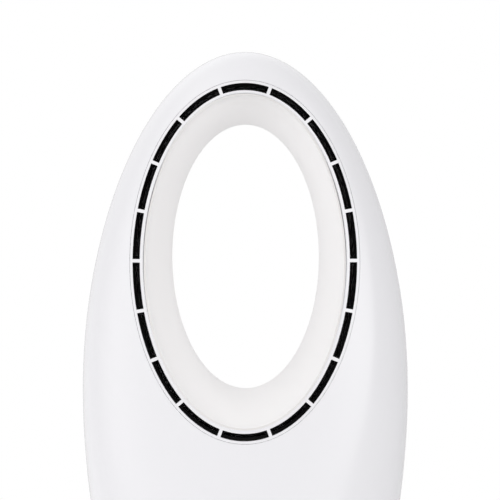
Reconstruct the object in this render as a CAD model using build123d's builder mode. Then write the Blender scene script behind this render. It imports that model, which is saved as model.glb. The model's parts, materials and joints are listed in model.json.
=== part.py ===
"""Bladeless fan: an egg-shaped casing with an oval hole, on a round base that swings it.

Millimetres. +Z is up, the front faces -Y, and the origin is the middle of the base's footprint.
"""

from build123d import *
import math
import os

os.makedirs("parts", exist_ok=True)

# ---------------------------------------------------------------- driving dimensions

# Heights, from the surface that the fan stands on
foot_height = 3.0
foot_recess = 0.5
base_height = 42.0  # top of the base's deck
turn_gap = 2.0  # between the base and the swinging body
lower_height = 286.0  # body bottom to its widest place
upper_height = 286.1  # widest place to the top

# The egg-shaped body
half_width = 140.5
neck_half_width = 74.0
front_depth = 80.0  # at the belly, from the parting plane
rear_depth = 84.0
neck_front = 70.0
neck_rear = 73.0
crown_front = 43.0  # towards the top of the loop
crown_rear = 37.0
belly_height = 129.0  # from the body's bottom to its deepest place
crown_round = 55.0  # height of the rounded crown
taper_power = 1.35
shoulder_power = 1.88  # 2 would be an ellipse above the widest place
crown_power = 2.4
round_fullness = 0.5523  # Bezier handles for an ellipse
loop_fullness = 0.70  # and for the squarer section round the loop
fullness_start = 76.0  # above the body's bottom
wall = 2.6
parting_gap = 0.3
fit_gap = 0.3  # between the casing and what lies inside it
running_gap = 0.06  # radial, in a bearing or a close fit
lip_thickness = 1.8

# The oval outlet in the front of the loop
oval_z = 437.9
slot_half_width = 91.55  # to the middle of the slot, across
slot_half_height = 146.7  # and up
slot_width = 6.25
rib_width = 2.8
rib_count = 18
outer_land = 2.4
inner_land = 2.5
seam_gap = 0.25
duct_gap = 0.3  # round the duct's front and rear edges
liner_gap = 0.15
skirt_wall = 1.2
nozzle_depth = 12.0
nozzle_web = 2.0
jet_width = 2.2

# The duct through the loop
throat_half_width = 64.4
throat_half_height = 116.3
duct_wall = 2.0
duct_front_y = -57.0
throat_y = 32.0
front_lean = 6.5  # degrees that the duct's front plane leans back
throat_lean = -5.9
duct_power = 1.6
duct_lip = 0.06  # the straight lip at its front, as a share of its length
flare_depth = 108.0
duct_seam = 1.07  # where the duct meets the rear casing, as a share of its length
duct_inner_round = 1.0
duct_outer_round = 0.2
rear_lip_round = 4.0

# The partition and the fan unit under it
deck_z = 204.0
deck_thickness = 3.0
ledge_thickness = 2.4
seal_height = 4.0
fan_wall = 2.2
duct_radius = 59.0
inlet_radius = 44.0
mouth_radius = 60.0
mouth_z = 92.0
inlet_z = 101.0
split_z = 143.0
flange_thickness = 2.5
grommet_height = 2.0
vane_count = 9
vane_thickness = 1.6
cup_radius = 46.0
cup_top_radius = 30.0
cup_wall = 2.0
fan_screw_circle = 72.0

cup_floor_rise = 4.0
cup_straight = 14.0
lug_radius = 5.0
first_lug_angle = 45.0
lower_screw_tail = 2.0  # past the two flanges
upper_screw_length = 11.0
deck_boss_radius = 4.0
deck_boss_height = 6.0
vane_z = 172.0
vane_height = 42.0
vane_inner = 36.0
vane_tilt = 14.0

# The impeller and its motor
hub_top_z = 141.0
blade_sweep = 62.0
nut_height = 4.0
nut_radius = 4.5
tooth_width = 4.0
stator_yoke = 2.5
winding_build = 1.2
winding_start = 14.2
winding_length = 5.8
motor_screw_circle = 18.0
motor_screw_radius = 1.3
housing_boss_radius = 10.0
blade_count = 7
blade_thickness = 1.4
hub_radius = 44.0
hub_nose_radius = 9.0
hub_wall = 2.2
hub_skirt = 12.0
blade_bow = 6.0  # degrees that a blade bows away from its chord
motor_screw_count = 3
tip_clearance = 0.8
motor_radius = 25.0
motor_wall = 1.5
motor_height = 34.0
shaft_radius = 2.5
bearing_radius = 8.0
bearing_width = 5.0
magnet_radius = 12.0
stator_radius = 23.0
stator_height = 18.0
tooth_count = 9
air_gap = 0.6

# The rear air intake
intake_z = 124.0
intake_half_width = 74.0
intake_half_height = 60.0
intake_gap = 0.3
slat_pitch = 7.5
slat_gap = 3.6
slat_margin = 7.0
intake_bar = 4.0
bar_height = 20.0  # of the two bars above and below the middle
filter_band = 4.4

seat_overlap = 3.5

# Casing screws, as (across, up) from the middle of the body
boss_radius = 4.8
screw_places = ((80.0, 74.0), (108.0, 150.0), (113.0, 236.0))
pin_places = ((113.0, 437.0), (-113.0, 437.0), (0.0, 604.0))
screw_radius = 1.6
pilot_radius = 1.62
screw_hole_radius = 1.8
screw_depth = 11.0
screw_clearance = 0.3
screw_head_radius = 3.2
screw_head_height = 2.2
head_seat = 6.0
pin_radius = 2.0
pin_length = 5.0
pin_clearance = 0.15

# Controls on the lower front
board_setback = 15.0  # from the belly's front to the board
board_half_width = 34.0
board_low = 90.0
board_high = 184.0
board_thickness = 1.6
board_screw_inset = 4.5
board_screw_radius = 1.12
board_screw_length = 5.0
board_post_radius = 3.0
display_z = 169.0
display_half_width = 25.0
display_half_height = 11.5
power_z = 134.0
power_radius = 9.5
key_z = 106.0
key_radius = 5.0
key_spacing = 15.0
key_travel = 0.8
key_proud = 0.8
key_gap = 0.3
switch_size = 6.0
switch_height = 3.5
key_flange = 0.8
stem_radius = 1.5
stem_gap = 0.1
plunger_radius = 1.7
plunger_height = 0.5
module_half_width = 20.0
module_half_height = 9.0
module_depth = 4.0

# The base
base_radius = 115.0
deck_radius = 79.0
rim_height = 12.0
base_wall = 2.6
plate_thickness = 2.5
foot_radius = 9.0
foot_circle = 96.0
foot_count = 6
first_foot_angle = 30.0
foot_chamfer = 0.6
base_screw_circle = 105.5
ballast_inner = 68.0
ballast_outer = 100.0
ballast_height = 8.0
spindle_radius = 18.0
cable_bore = 12.0
bush_wall = 3.0
hub_disc_radius = 56.0
ball_circle = 50.0
ball_radius = 2.45
ball_count = 18
race_width = 9.0
race_thickness = 1.0
trough_depth = 5.0

bush_flange = 1.2
base_post_radius = 3.4
floor_thickness = 3.0
cage_thickness = 1.8

# The swing drive
spindle_reach = 10.0  # below the base's deck
gear_clearance = 1.0  # under the collar
gear_screw_count = 3
gear_screw_radius = 1.3
gear_screw_length = 7.0
gear_window_radius = 5.0
gear_window_count = 6
flank_points = 5
swing_shaft_radius = 2.5
swing_ear_reach = 17.5
swing_ear_radius = 3.5
swing_screw_radius = 1.6
ear_thickness = 1.0
terminal_width = 14.0
terminal_depth = 7.0
gear_module = 1.0
gear_teeth = 72
pinion_teeth = 18
pressure_angle = 20.0
backlash = 0.12
gear_face = 6.0
pinion_face = 7.0
swing_motor_radius = 14.0
swing_motor_height = 19.0
swing_shaft_offset = 8.0

# The mains inlet, at the back of the base
inlet_y = 106.0
inlet_half_width = 11.0
inlet_half_height = 8.0
inlet_centre_z = 18.0
inlet_flange = 2.0
inlet_depth = 20.0
inlet_pin_spacing = 8.6
inlet_pin_radius = 1.2
pin_tail = 3.0
pin_recess = 2.0  # from the socket's mouth to the pins' tips
socket_width = 14.6
socket_height = 8.6
socket_depth = 12.0
power_board_width = 36.0
power_board_length = 54.0
power_board_place = (-44.0, 0.0)
power_post_height = 4.0
power_post_inset = 4.5
transformer_width = 20.0
transformer_length = 17.0
transformer_height = 12.0
capacitor_radius = 4.0
capacitor_height = 11.0
capacitor_spacing = 11.0
inlet_foot = 6.0

# ---------------------------------------------------------------- places worked out from them

body_z = base_height + turn_gap
waist_z = body_z + lower_height
top_z = waist_z + upper_height
belly_z = body_z + belly_height
plate_z = foot_height - foot_recess
floor_inside_z = plate_z + plate_thickness
outer_seam = slot_width / 2 + outer_land
inner_seam = slot_width / 2 + inner_land
far = 400.0  # longer than anything here
board_post_places = [
    (
        power_board_place[0] + side * (power_board_width / 2 - power_post_inset),
        power_board_place[1] + end * (power_board_length / 2 - power_post_inset),
    )
    for side in (-1, 1)
    for end in (-1, 1)
]


def save(piece, name):
    """Labels a finished piece and writes its file."""
    piece.part.label = name
    export_step(piece.part, f"parts/{name}.step")


# ---------------------------------------------------------------- the body's outer form


def width_at(z, inset):
    """Half the body's width at a height, for a surface that lies inset inside the outside."""
    widest = half_width - inset
    if z >= waist_z:
        share = min(1.0, (z - waist_z) / (upper_height - inset))
        return widest * math.sqrt(1 - share**shoulder_power)
    semi = lower_height / math.sqrt(1 - (neck_half_width / half_width) ** 2)
    return widest * math.sqrt(1 - ((waist_z - z) / semi) ** 2)


def depth_at(z, belly, crown, neck, inset):
    """How far the body reaches in front of or behind the parting plane at a height."""
    crown_z = top_z - inset
    if z < belly_z:
        semi = belly_height / math.sqrt(1 - (neck / belly) ** 2)
        return (belly - inset) * math.sqrt(1 - ((belly_z - z) / semi) ** 2)
    share = (z - belly_z) / (crown_z - belly_z)
    depth = belly - inset - (belly - crown) * share**taper_power
    above = z - (crown_z - crown_round)
    if above > 0:
        depth *= (1 - (above / crown_round) ** crown_power) ** (1 / crown_power)
    return depth


def fullness_at(z):
    """Bezier handle length: an ellipse at the neck, squarer round the loop."""
    share = min(1.0, max(0.0, (z - body_z - fullness_start) / (lower_height - fullness_start)))
    return round_fullness + (loop_fullness - round_fullness) * share * share * (3 - 2 * share)


def body_section(z, inset):
    """The body's outline at a height, as a sketch."""
    width = width_at(z, inset)
    front = depth_at(z, front_depth, crown_front, neck_front, inset)
    rear = depth_at(z, rear_depth, crown_rear, neck_rear, inset)
    handle = fullness_at(z)
    with BuildSketch(Plane.XY.offset(z)) as outline:
        with BuildLine():
            for side, depth in ((1, -front), (-1, -front), (-1, rear), (1, rear)):
                Bezier(
                    (side * width, 0),
                    (side * width, handle * depth),
                    (side * handle * width, depth),
                    (0, depth),
                )
        make_face()
    return outline.sketch


def body_solid(inset):
    """The egg, as a solid that lies inset inside the outside and is cut off at the neck."""
    lower = [body_z + lower_height * share for share in (0, 0.16, 0.335, 0.53, 0.76)]
    rise = upper_height - inset
    angles = (0, 14, 28, 42, 54, 64, 72, 78.5, 83.5, 87.3)
    upper = [waist_z + rise * math.sin(math.radians(angle)) for angle in angles]
    outlines = [body_section(z, inset).face() for z in lower + upper]
    with BuildPart() as egg:
        loft(sections=outlines + [Vertex(0, 0, top_z - inset)])
    return egg.part


def oval_tool(grow_out, grow_in=None, across=slot_half_width, up=slot_half_height, z=oval_z, side=-1):
    """An oval bar, or an oval tube where grow_in is given, through the front or rear half."""
    with BuildPart() as tool:
        with BuildSketch(Plane.XZ):
            with Locations((0, z)):
                Ellipse(across + grow_out, up + grow_out)
                if grow_in is not None:
                    Ellipse(across + grow_in, up + grow_in, mode=Mode.SUBTRACT)
        extrude(amount=-side * far / 2)
    return tool.part


def half_space(y, side):
    """Everything in front of (side -1) or behind (side 1) a plane across the body."""
    with BuildPart() as half:
        with Locations((0, y + side * far, top_z / 2)):
            Box(2 * far, 2 * far, 4 * far)
    return half.part


def slab(z_low, z_high):
    """Everything between two heights."""
    with BuildPart() as block:
        with Locations((0, 0, z_low)):
            Box(far, far, z_high - z_low, align=(Align.CENTER, Align.CENTER, Align.MIN))
    return block.part


def rod(x, z, radius, y_from, y_to):
    """A round bar that runs front to back."""
    with BuildPart() as bar:
        with BuildSketch(Plane.XZ.offset(-y_from)):
            with Locations((x, z)):
                Circle(radius)
        extrude(amount=y_from - y_to)
    return bar.part


# ---------------------------------------------------------------- the duct through the loop


def duct_solid(grow):
    """The air space inside the duct, or with grow the outside of its wall."""
    sections = []
    length = throat_y - duct_front_y
    for share in (-0.5, -0.25, -0.1, 0.0, 0.12, 0.3, 0.5, 0.72, 0.9, 1.0, 1.1, 1.25, 1.45, 1.7):
        if share < 1:
            spread = (1 - max(0.0, share - duct_lip) / (1 - duct_lip)) ** duct_power
            across = throat_half_width + spread * (front_half_width - throat_half_width)
            up = throat_half_height + spread * (front_half_height - throat_half_height)
        else:
            flare = flare_depth * (share - 1) ** 2
            across = throat_half_width + flare
            up = throat_half_height + flare
        turn = math.sin(math.radians(90 * max(-1.0, min(share, 1.0))))
        lean = math.radians(front_lean + (throat_lean - front_lean) * turn)
        place = Plane(
            origin=(0, duct_front_y + share * length, oval_z),
            x_dir=(1, 0, 0),
            z_dir=(0, -math.cos(lean), math.sin(lean)),
        )
        with BuildSketch(place) as section:
            Ellipse(across + grow, (up + grow) / math.cos(lean))
        sections.append(section.sketch.face())
    with BuildPart() as duct:
        loft(sections=sections)
    return duct.part


def duct_half(share, side):
    """Everything in front of (side -1) or behind (side 1) the duct's own section at a share."""
    lean = math.radians(throat_lean)
    place = Plane(
        origin=(0, duct_front_y + share * (throat_y - duct_front_y), oval_z),
        x_dir=(1, 0, 0),
        z_dir=(0, -math.cos(lean), math.sin(lean)),
    )
    with BuildPart() as half:
        with BuildSketch(place):
            Rectangle(2 * far, 2 * far)
        extrude(amount=-side * far)
    return half.part


front_half_width = slot_half_width - inner_seam - duct_gap / 2 - duct_wall
front_half_height = slot_half_height - inner_seam - duct_gap / 2 - duct_wall

# The body's surfaces: the key caps', the casing's two, and those of what lies inside it
body_proud = body_solid(-key_proud)
body_out = body_solid(0)
body_in = body_solid(wall)
body_fit = body_solid(wall + fit_gap)
body_lip = body_solid(wall + lip_thickness)
body_web = body_solid(nozzle_depth - nozzle_web)
body_deep = body_solid(nozzle_depth)
duct_air = duct_solid(0)
duct_outside = duct_solid(duct_wall)
front_half = half_space(-parting_gap / 2, -1)
rear_half = half_space(parting_gap / 2, 1)


def long_loops(piece):
    """The edges that run all the way round the hole, or further."""
    return [edge for edge in piece.edges() if edge.length > 4 * throat_half_height]


def front_loops(piece):
    """The same edges with the foremost first."""
    return sorted(long_loops(piece), key=lambda edge: edge.bounding_box().min.Y)


def between(outer, inner, *tools):
    """What lies between two of the body's surfaces and inside every tool."""
    with BuildPart() as band:
        add(tools[0])
        for tool in tools[1:]:
            add(tool, mode=Mode.INTERSECT)
        add(outer, mode=Mode.INTERSECT)
        add(inner, mode=Mode.SUBTRACT)
    return band.part


def mirrored(places):
    """The same (across, up) places on both sides of the middle."""
    return [(side * x, z) for side in (-1, 1) for x, z in places]


def polar(radius, angle):
    """The point at a radius and an angle in degrees."""
    return (radius * math.cos(math.radians(angle)), radius * math.sin(math.radians(angle)))


# ---------------------------------------------------------------- casing

ledge = slab(deck_z - ledge_thickness, deck_z)
bottom_flange = slab(body_z, body_z + ledge_thickness)
board_y = -(front_depth - board_setback)
board_holes = mirrored(
    (
        (board_half_width - board_screw_inset, board_low + board_screw_inset),
        (board_half_width - board_screw_inset, board_high - board_screw_inset),
    )
)
key_places = [(key_spacing * step, key_z) for step in (-1.5, -0.5, 0.5, 1.5)]


def display_window(grow, y_from, y_to):
    """The display's oval, as a bar that runs front to back."""
    with BuildPart() as bar:
        with BuildSketch(Plane.XZ.offset(-y_from)):
            with Locations((0, display_z)):
                Ellipse(display_half_width + grow, display_half_height + grow)
        extrude(amount=y_from - y_to)
    return bar.part


with BuildPart() as front_shell:
    add(body_out)
    add(front_half, mode=Mode.INTERSECT)
    add(body_in, mode=Mode.SUBTRACT)
    add(between(body_in, body_web, ledge, front_half))
    add(between(body_in, body_web, bottom_flange, front_half))
    for x, z in mirrored(screw_places) + list(pin_places):
        post = rod(x, z, boss_radius, -far / 4, -parting_gap / 2)
        add(between(body_out, rod(x, z, pilot_radius, -screw_depth, far), post))
    for x, z in pin_places:
        add(rod(x, z, pin_radius, -pin_length, pin_length))
    for x, z in board_holes:
        post = rod(x, z, board_post_radius, -far / 4, board_y)
        add(between(body_out, rod(x, z, board_screw_radius, board_y - board_screw_length, far), post))
    add(oval_tool(outer_seam + seam_gap / 2), mode=Mode.SUBTRACT)
    add(display_window(key_gap, -far / 4, board_y), mode=Mode.SUBTRACT)
    add(rod(0, power_z, power_radius + key_gap, -far / 4, board_y), mode=Mode.SUBTRACT)
    for x, z in key_places:
        add(rod(x, z, key_radius + key_gap, -far / 4, board_y), mode=Mode.SUBTRACT)
save(front_shell, "front_shell")

with BuildPart() as rear_hollow:
    add(duct_outside)
    add(duct_half(duct_seam, 1), mode=Mode.INTERSECT)
duct_rear_block = rear_hollow.part

with BuildPart() as rear_space:
    add(body_in)
    add(duct_rear_block, mode=Mode.SUBTRACT)

with BuildPart() as rear_shell:
    add(body_out)
    add(rear_half, mode=Mode.INTERSECT)
    add(rear_space.part, mode=Mode.SUBTRACT)
    add(duct_air, mode=Mode.SUBTRACT)
    add(between(body_in, body_web, ledge, rear_half))
    add(between(body_in, body_web, bottom_flange, rear_half))
    add(oval_tool(intake_gap, None, intake_half_width, intake_half_height, intake_z, 1), mode=Mode.SUBTRACT)
    seat = oval_tool(seat_overlap, -seat_overlap, intake_half_width, intake_half_height, intake_z, 1)
    add(between(body_in, body_lip, seat))
    for x, z in mirrored(screw_places):
        boss = rod(x, z, boss_radius, parting_gap / 2, far / 4)
        add(between(body_out, rod(x, z, screw_hole_radius, -far, far), boss))
        add(rod(x, z, screw_head_radius + screw_clearance, head_seat, far / 4), mode=Mode.SUBTRACT)
    for x, z in pin_places:
        socket = rod(x, z, boss_radius, parting_gap / 2, far / 4)
        add(between(body_out, rod(x, z, pin_radius + pin_clearance, -far, pin_length + 0.5), socket))
    fillet(max(long_loops(rear_shell), key=lambda edge: edge.bounding_box().max.Y), rear_lip_round)
save(rear_shell, "rear_shell")


def slot_ring(width, rib, depth):
    """The oval row of slots, split by its ribs, as a tool that reaches back to a depth."""
    oval = Edge.make_ellipse(slot_half_width, slot_half_height)
    with BuildPart() as tool:
        with BuildSketch(Plane.XZ.offset(depth)):
            with Locations((0, oval_z)):
                Ellipse(slot_half_width + width / 2, slot_half_height + width / 2)
                Ellipse(slot_half_width - width / 2, slot_half_height - width / 2, mode=Mode.SUBTRACT)
            for step in range(rib_count):
                way = (step + 0.5) / rib_count * oval.length
                middle = oval.position_at(way, PositionMode.LENGTH)
                along = oval.tangent_at(way, PositionMode.LENGTH)
                turn = math.degrees(math.atan2(along.Y, along.X))
                with Locations(Location((middle.X, middle.Y + oval_z, 0), (0, 0, 1), turn)):
                    Rectangle(rib, 2 * width, mode=Mode.SUBTRACT)
        extrude(amount=far / 2)
    return tool.part


ring_outer = outer_seam - seam_gap / 2
ring_inner = -(inner_seam - duct_gap / 2)

outer_skirt = between(body_in, body_web, oval_tool(ring_outer, ring_outer - skirt_wall))
inner_skirt = between(body_in, body_web, oval_tool(ring_inner + skirt_wall, ring_inner))

with BuildPart() as outlet_ring:
    add(between(body_out, body_in, oval_tool(ring_outer, ring_inner)))
    add(outer_skirt)
    add(inner_skirt)
    add(slot_ring(slot_width, rib_width, 0), mode=Mode.SUBTRACT)
save(outlet_ring, "outlet_ring")

liner_outer = ring_outer - skirt_wall - liner_gap
liner_inner = ring_inner + skirt_wall + liner_gap

liner_groove = oval_tool(slot_width / 2, -slot_width / 2)

with BuildPart() as nozzle_liner:
    add(between(body_fit, body_web, oval_tool(liner_outer, liner_inner)))
    add(liner_groove, mode=Mode.SUBTRACT)
    add(between(body_web, body_deep, oval_tool(ring_outer, ring_inner)))
    add(slot_ring(jet_width, 2 * rib_width, 0), mode=Mode.SUBTRACT)
save(nozzle_liner, "nozzle_liner")

duct_end = duct_seam - duct_gap / (throat_y - duct_front_y)

with BuildPart() as duct_ring:
    add(duct_outside)
    add(duct_half(duct_end, -1), mode=Mode.INTERSECT)
    add(body_out, mode=Mode.INTERSECT)
    add(duct_air, mode=Mode.SUBTRACT)
    fillet(front_loops(duct_ring)[0], duct_outer_round)
    inner_rim = min(front_loops(duct_ring)[:3], key=lambda edge: edge.length)
    fillet(inner_rim, duct_inner_round)
save(duct_ring, "duct_ring")

# ---------------------------------------------------------------- rear air intake


def intake_oval(grow, grow_in=None):
    """The rear intake's oval, as a bar or a tube through the rear half."""
    return oval_tool(grow, grow_in, intake_half_width, intake_half_height, intake_z, 1)


def intake_slots():
    """The upright slots of the intake, crossed by two bars, as a tool."""
    reach = intake_half_width - slat_margin
    count = int(reach / slat_pitch)
    with BuildPart() as tool:
        with BuildSketch(Plane.XZ):
            for step in range(-count, count + 1):
                x = step * slat_pitch
                tall = (intake_half_height - slat_margin) * math.sqrt(1 - (x / reach) ** 2)
                if tall < bar_height + intake_bar:
                    tall = min(tall, bar_height - intake_bar / 2 - slat_gap / 2)
                with Locations((x, intake_z)):
                    SlotOverall(2 * max(tall, slat_gap), slat_gap, rotation=90)
            for side in (-1, 1):
                with Locations((0, intake_z + side * bar_height)):
                    Rectangle(2 * intake_half_width, intake_bar, mode=Mode.SUBTRACT)
        extrude(amount=-far / 2)
    return tool.part


with BuildPart() as intake_grille:
    add(between(body_out, body_in, intake_oval(0)))
    add(intake_slots(), mode=Mode.SUBTRACT)
save(intake_grille, "intake_grille")

with BuildPart() as filter_frame:
    add(between(body_lip, body_web, intake_oval(0, -filter_band)))
save(filter_frame, "filter_frame")

with BuildPart() as dust_filter:
    add(between(body_lip, body_web, intake_oval(-filter_band)))
save(dust_filter, "dust_filter")

# ---------------------------------------------------------------- controls on the front

with BuildPart() as display_lens:
    add(between(body_out, body_lip, display_window(0, -far / 4, board_y)))
    add(between(body_fit, body_lip, display_window(key_gap + key_flange, -far / 4, board_y)))
save(display_lens, "display_lens")

switch_y = board_y - switch_height


def push_button(x, z, radius, name):
    """A round key: a cap that follows the casing, a flange behind the wall and a stem to its switch."""
    with BuildPart() as key:
        add(between(body_proud, body_lip, rod(x, z, radius, -far / 4, board_y)))
        add(between(body_fit, body_lip, rod(x, z, radius + key_gap + key_flange, -far / 4, board_y)))
        stem = rod(x, z, stem_radius, -front_depth + wall, switch_y - key_travel - stem_gap)
        add(between(body_fit, half_space(switch_y - key_travel - stem_gap, 1), stem))
    save(key, name)


push_button(0, power_z, power_radius, "power_button")
for (x, z), name in zip(key_places, ("speed_down_button", "speed_up_button", "swing_button", "timer_button")):
    push_button(x, z, key_radius, name)

with BuildPart() as control_board:
    with BuildSketch(Plane.XZ.offset(-board_y - board_thickness)):
        with Locations((0, (board_low + board_high) / 2)):
            RectangleRounded(2 * board_half_width, board_high - board_low, 2.0)
        with Locations(*board_holes):
            Circle(board_screw_radius + screw_clearance, mode=Mode.SUBTRACT)
    extrude(amount=board_thickness)
save(control_board, "control_board")

with BuildPart() as tact_switches:
    for x, z in [(0, power_z)] + key_places:
        with BuildSketch(Plane.XZ.offset(-board_y)):
            with Locations((x, z)):
                RectangleRounded(switch_size, switch_size, 0.5)
        extrude(amount=switch_height - plunger_height)
        with BuildSketch(Plane.XZ.offset(-board_y + switch_height - plunger_height)):
            with Locations((x, z)):
                Circle(plunger_radius)
        extrude(amount=plunger_height)
save(tact_switches, "tact_switches")

with BuildPart() as display_module:
    with BuildSketch(Plane.XZ.offset(-board_y)):
        with Locations((0, display_z)):
            RectangleRounded(2 * module_half_width, 2 * module_half_height, 1.0)
    extrude(amount=module_depth)
save(display_module, "display_module")

with BuildPart() as board_screws:
    for x, z in board_holes:
        add(rod(x, z, board_screw_radius, board_y - board_screw_length, board_y + board_thickness))
        add(rod(x, z, 2 * board_screw_radius, board_y + board_thickness, board_y + board_thickness + 1.5))
save(board_screws, "board_screws")

with BuildPart() as shell_screws:
    for x, z in mirrored(screw_places):
        add(rod(x, z, screw_radius, -screw_depth + 1, head_seat))
        add(rod(x, z, screw_head_radius, head_seat, head_seat + screw_head_height))
save(shell_screws, "shell_screws")

# ---------------------------------------------------------------- partition under the loop

lug_angles = [first_lug_angle + 90 * step for step in range(4)]
lug_places = [polar(fan_screw_circle, angle) for angle in lug_angles]
tube_radius = duct_radius + fan_wall
tube_top_z = deck_z - grommet_height


def lug_ring(inner, outer, z, thickness, hole, disc=True):
    """A flat ring with four screw lugs on it, as a part."""
    with BuildPart() as ring:
        with BuildSketch(Plane.XY.offset(z)):
            if disc:
                Circle(outer)
            with Locations(*lug_places):
                Circle(lug_radius)
            for angle in lug_angles:
                middle = polar((fan_screw_circle + tube_radius - 1) / 2, angle)
                with Locations(Location((*middle, 0), (0, 0, 1), angle)):
                    Rectangle(fan_screw_circle - tube_radius + 1, 2 * lug_radius)
            Circle(inner, mode=Mode.SUBTRACT)
            with Locations(*lug_places):
                Circle(hole, mode=Mode.SUBTRACT)
        extrude(amount=thickness)
    return ring.part


with BuildPart() as plenum_deck:
    add(slab(deck_z, deck_z + deck_thickness))
    add(body_lip, mode=Mode.INTERSECT)
    with BuildSketch(Plane.XY.offset(deck_z + deck_thickness)):
        with Locations(*lug_places):
            Circle(deck_boss_radius)
    extrude(amount=deck_boss_height)
    with BuildSketch(Plane.XY.offset(deck_z)):
        Circle(duct_radius)
        with Locations(*lug_places):
            Circle(pilot_radius)
    extrude(amount=deck_thickness + deck_boss_height, mode=Mode.SUBTRACT)
    for x, z in mirrored(screw_places[2:]):
        add(rod(x, z, boss_radius + fit_gap, -far / 2, far / 2), mode=Mode.SUBTRACT)
save(plenum_deck, "plenum_deck")

with BuildPart() as deck_seal:
    add(between(body_fit, body_lip, slab(deck_z, deck_z + seal_height)))
save(deck_seal, "deck_seal")

with BuildPart() as fan_gasket:
    add(lug_ring(duct_radius, tube_radius, tube_top_z, grommet_height, screw_hole_radius))
save(fan_gasket, "fan_gasket")

# ---------------------------------------------------------------- fan unit

motor_z = split_z + cup_floor_rise + cup_wall
motor_top_z = motor_z + motor_height


def turned(*points):
    """A solid of revolution about the upright axis, from straight-sided (radius, height) points."""
    with BuildPart() as solid:
        with BuildSketch(Plane.XZ):
            with BuildLine():
                Polyline(*points, close=True)
            make_face()
        revolve(axis=Axis.Z)
    return solid.part


cup_profile = (
    (0, split_z + cup_floor_rise),
    (cup_radius, split_z + cup_floor_rise),
    (cup_radius, split_z + cup_floor_rise + cup_straight),
    (cup_top_radius, tube_top_z - 2),
    (0, tube_top_z - 2),
)
cup_space = (
    (0, motor_z),
    (cup_radius - cup_wall, motor_z),
    (cup_radius - cup_wall, split_z + cup_floor_rise + cup_straight),
    (cup_top_radius - cup_wall, tube_top_z - 2 - cup_wall),
    (0, tube_top_z - 2 - cup_wall),
)

with BuildPart() as diffuser:
    with BuildSketch(Plane.XY.offset(split_z)):
        Circle(tube_radius)
        Circle(duct_radius, mode=Mode.SUBTRACT)
    extrude(amount=tube_top_z - split_z)
    add(lug_ring(duct_radius, tube_radius, split_z, flange_thickness, screw_hole_radius))
    top_flange_z = tube_top_z - flange_thickness
    add(lug_ring(duct_radius, tube_radius, top_flange_z, flange_thickness, screw_hole_radius))
    add(turned(*cup_profile))
    for step in range(vane_count):
        out = 360 * step / vane_count
        lean = math.radians(vane_tilt)
        place = Plane(
            origin=(0, 0, vane_z),
            x_dir=(*polar(1, out), 0),
            z_dir=(*polar(math.sin(lean), out + 90), math.cos(lean)),
        )
        with BuildSketch(place):
            with Locations((vane_inner / 2 + (duct_radius + 1) / 2, 0)):
                Rectangle(duct_radius + 1 - vane_inner, vane_thickness)
        extrude(amount=vane_height / 2, both=True)
    add(turned(*cup_space), mode=Mode.SUBTRACT)
    with BuildSketch(Plane.XY.offset(split_z + cup_floor_rise)):
        Circle(housing_boss_radius + screw_clearance)
        with PolarLocations(motor_screw_circle, motor_screw_count):
            Circle(motor_screw_radius + screw_clearance)
    extrude(amount=cup_wall, mode=Mode.SUBTRACT)
save(diffuser, "diffuser")

with BuildPart() as shroud:
    with BuildSketch(Plane.XZ):
        with BuildLine():
            mouth = Bezier((mouth_radius, mouth_z), (inlet_radius, mouth_z), (inlet_radius, inlet_z))
            side = Bezier(
                mouth @ 1,
                (inlet_radius, inlet_z + 0.5 * (split_z - inlet_z)),
                (duct_radius, inlet_z + 0.6 * (split_z - inlet_z)),
                (duct_radius, split_z),
            )
            Line(side @ 1, (tube_radius, split_z))
            outside = Bezier(
                (tube_radius, split_z),
                (tube_radius, inlet_z + 0.6 * (split_z - inlet_z)),
                (inlet_radius + fan_wall, inlet_z + 0.5 * (split_z - inlet_z)),
                (inlet_radius + fan_wall, inlet_z),
            )
            rim = Bezier(
                outside @ 1,
                (inlet_radius + fan_wall, mouth_z + fan_wall),
                (mouth_radius, mouth_z + fan_wall),
            )
            Line(rim @ 1, mouth @ 0)
        make_face()
    revolve(axis=Axis.Z)
    low_flange_z = split_z - flange_thickness
    add(lug_ring(duct_radius, tube_radius, low_flange_z, flange_thickness, screw_hole_radius, False))
save(shroud, "shroud")

with BuildPart() as fan_screws:
    for place in lug_places:
        for bottom, length in (
            (split_z - flange_thickness, 2 * flange_thickness + lower_screw_tail),
            (tube_top_z - flange_thickness, upper_screw_length),
        ):
            with BuildSketch(Plane.XY.offset(bottom - screw_head_height)):
                with Locations(place):
                    Circle(screw_head_radius)
            extrude(amount=screw_head_height)
            with BuildSketch(Plane.XY.offset(bottom)):
                with Locations(place):
                    Circle(screw_radius)
            extrude(amount=length)
save(fan_screws, "fan_screws")


def tip_line(gap, z_low, z_high):
    """The impeller's tip outline: the shroud's own curve, a gap inside it, as a space of revolution."""
    with BuildPart() as space:
        with BuildSketch(Plane.XZ):
            with BuildLine():
                side = Bezier(
                    (inlet_radius - gap, inlet_z),
                    (inlet_radius - gap, inlet_z + 0.5 * (split_z - inlet_z)),
                    (duct_radius - gap, inlet_z + 0.6 * (split_z - inlet_z)),
                    (duct_radius - gap, split_z),
                )
                Polyline(side @ 1, (0, split_z), (0, inlet_z), side @ 0)
            make_face()
        revolve(axis=Axis.Z)
        add(slab(z_low, z_high), mode=Mode.INTERSECT)
    return space.part


def hub_dome(inset):
    """The impeller's hub, as a dome, or the hollow inside it where inset is given."""
    with BuildPart() as dome:
        with BuildSketch(Plane.XZ):
            with BuildLine():
                flank = Bezier(
                    (hub_nose_radius - inset / 2, inlet_z + inset),
                    (hub_nose_radius - inset / 2, inlet_z + 0.6 * (hub_top_z - inlet_z)),
                    (hub_radius - inset - hub_skirt, hub_top_z - hub_skirt / 2),
                    (hub_radius - inset, hub_top_z),
                )
                Polyline(flank @ 1, (0, hub_top_z), (0, inlet_z + inset), flank @ 0)
            make_face()
        revolve(axis=Axis.Z)
    return dome.part


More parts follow.
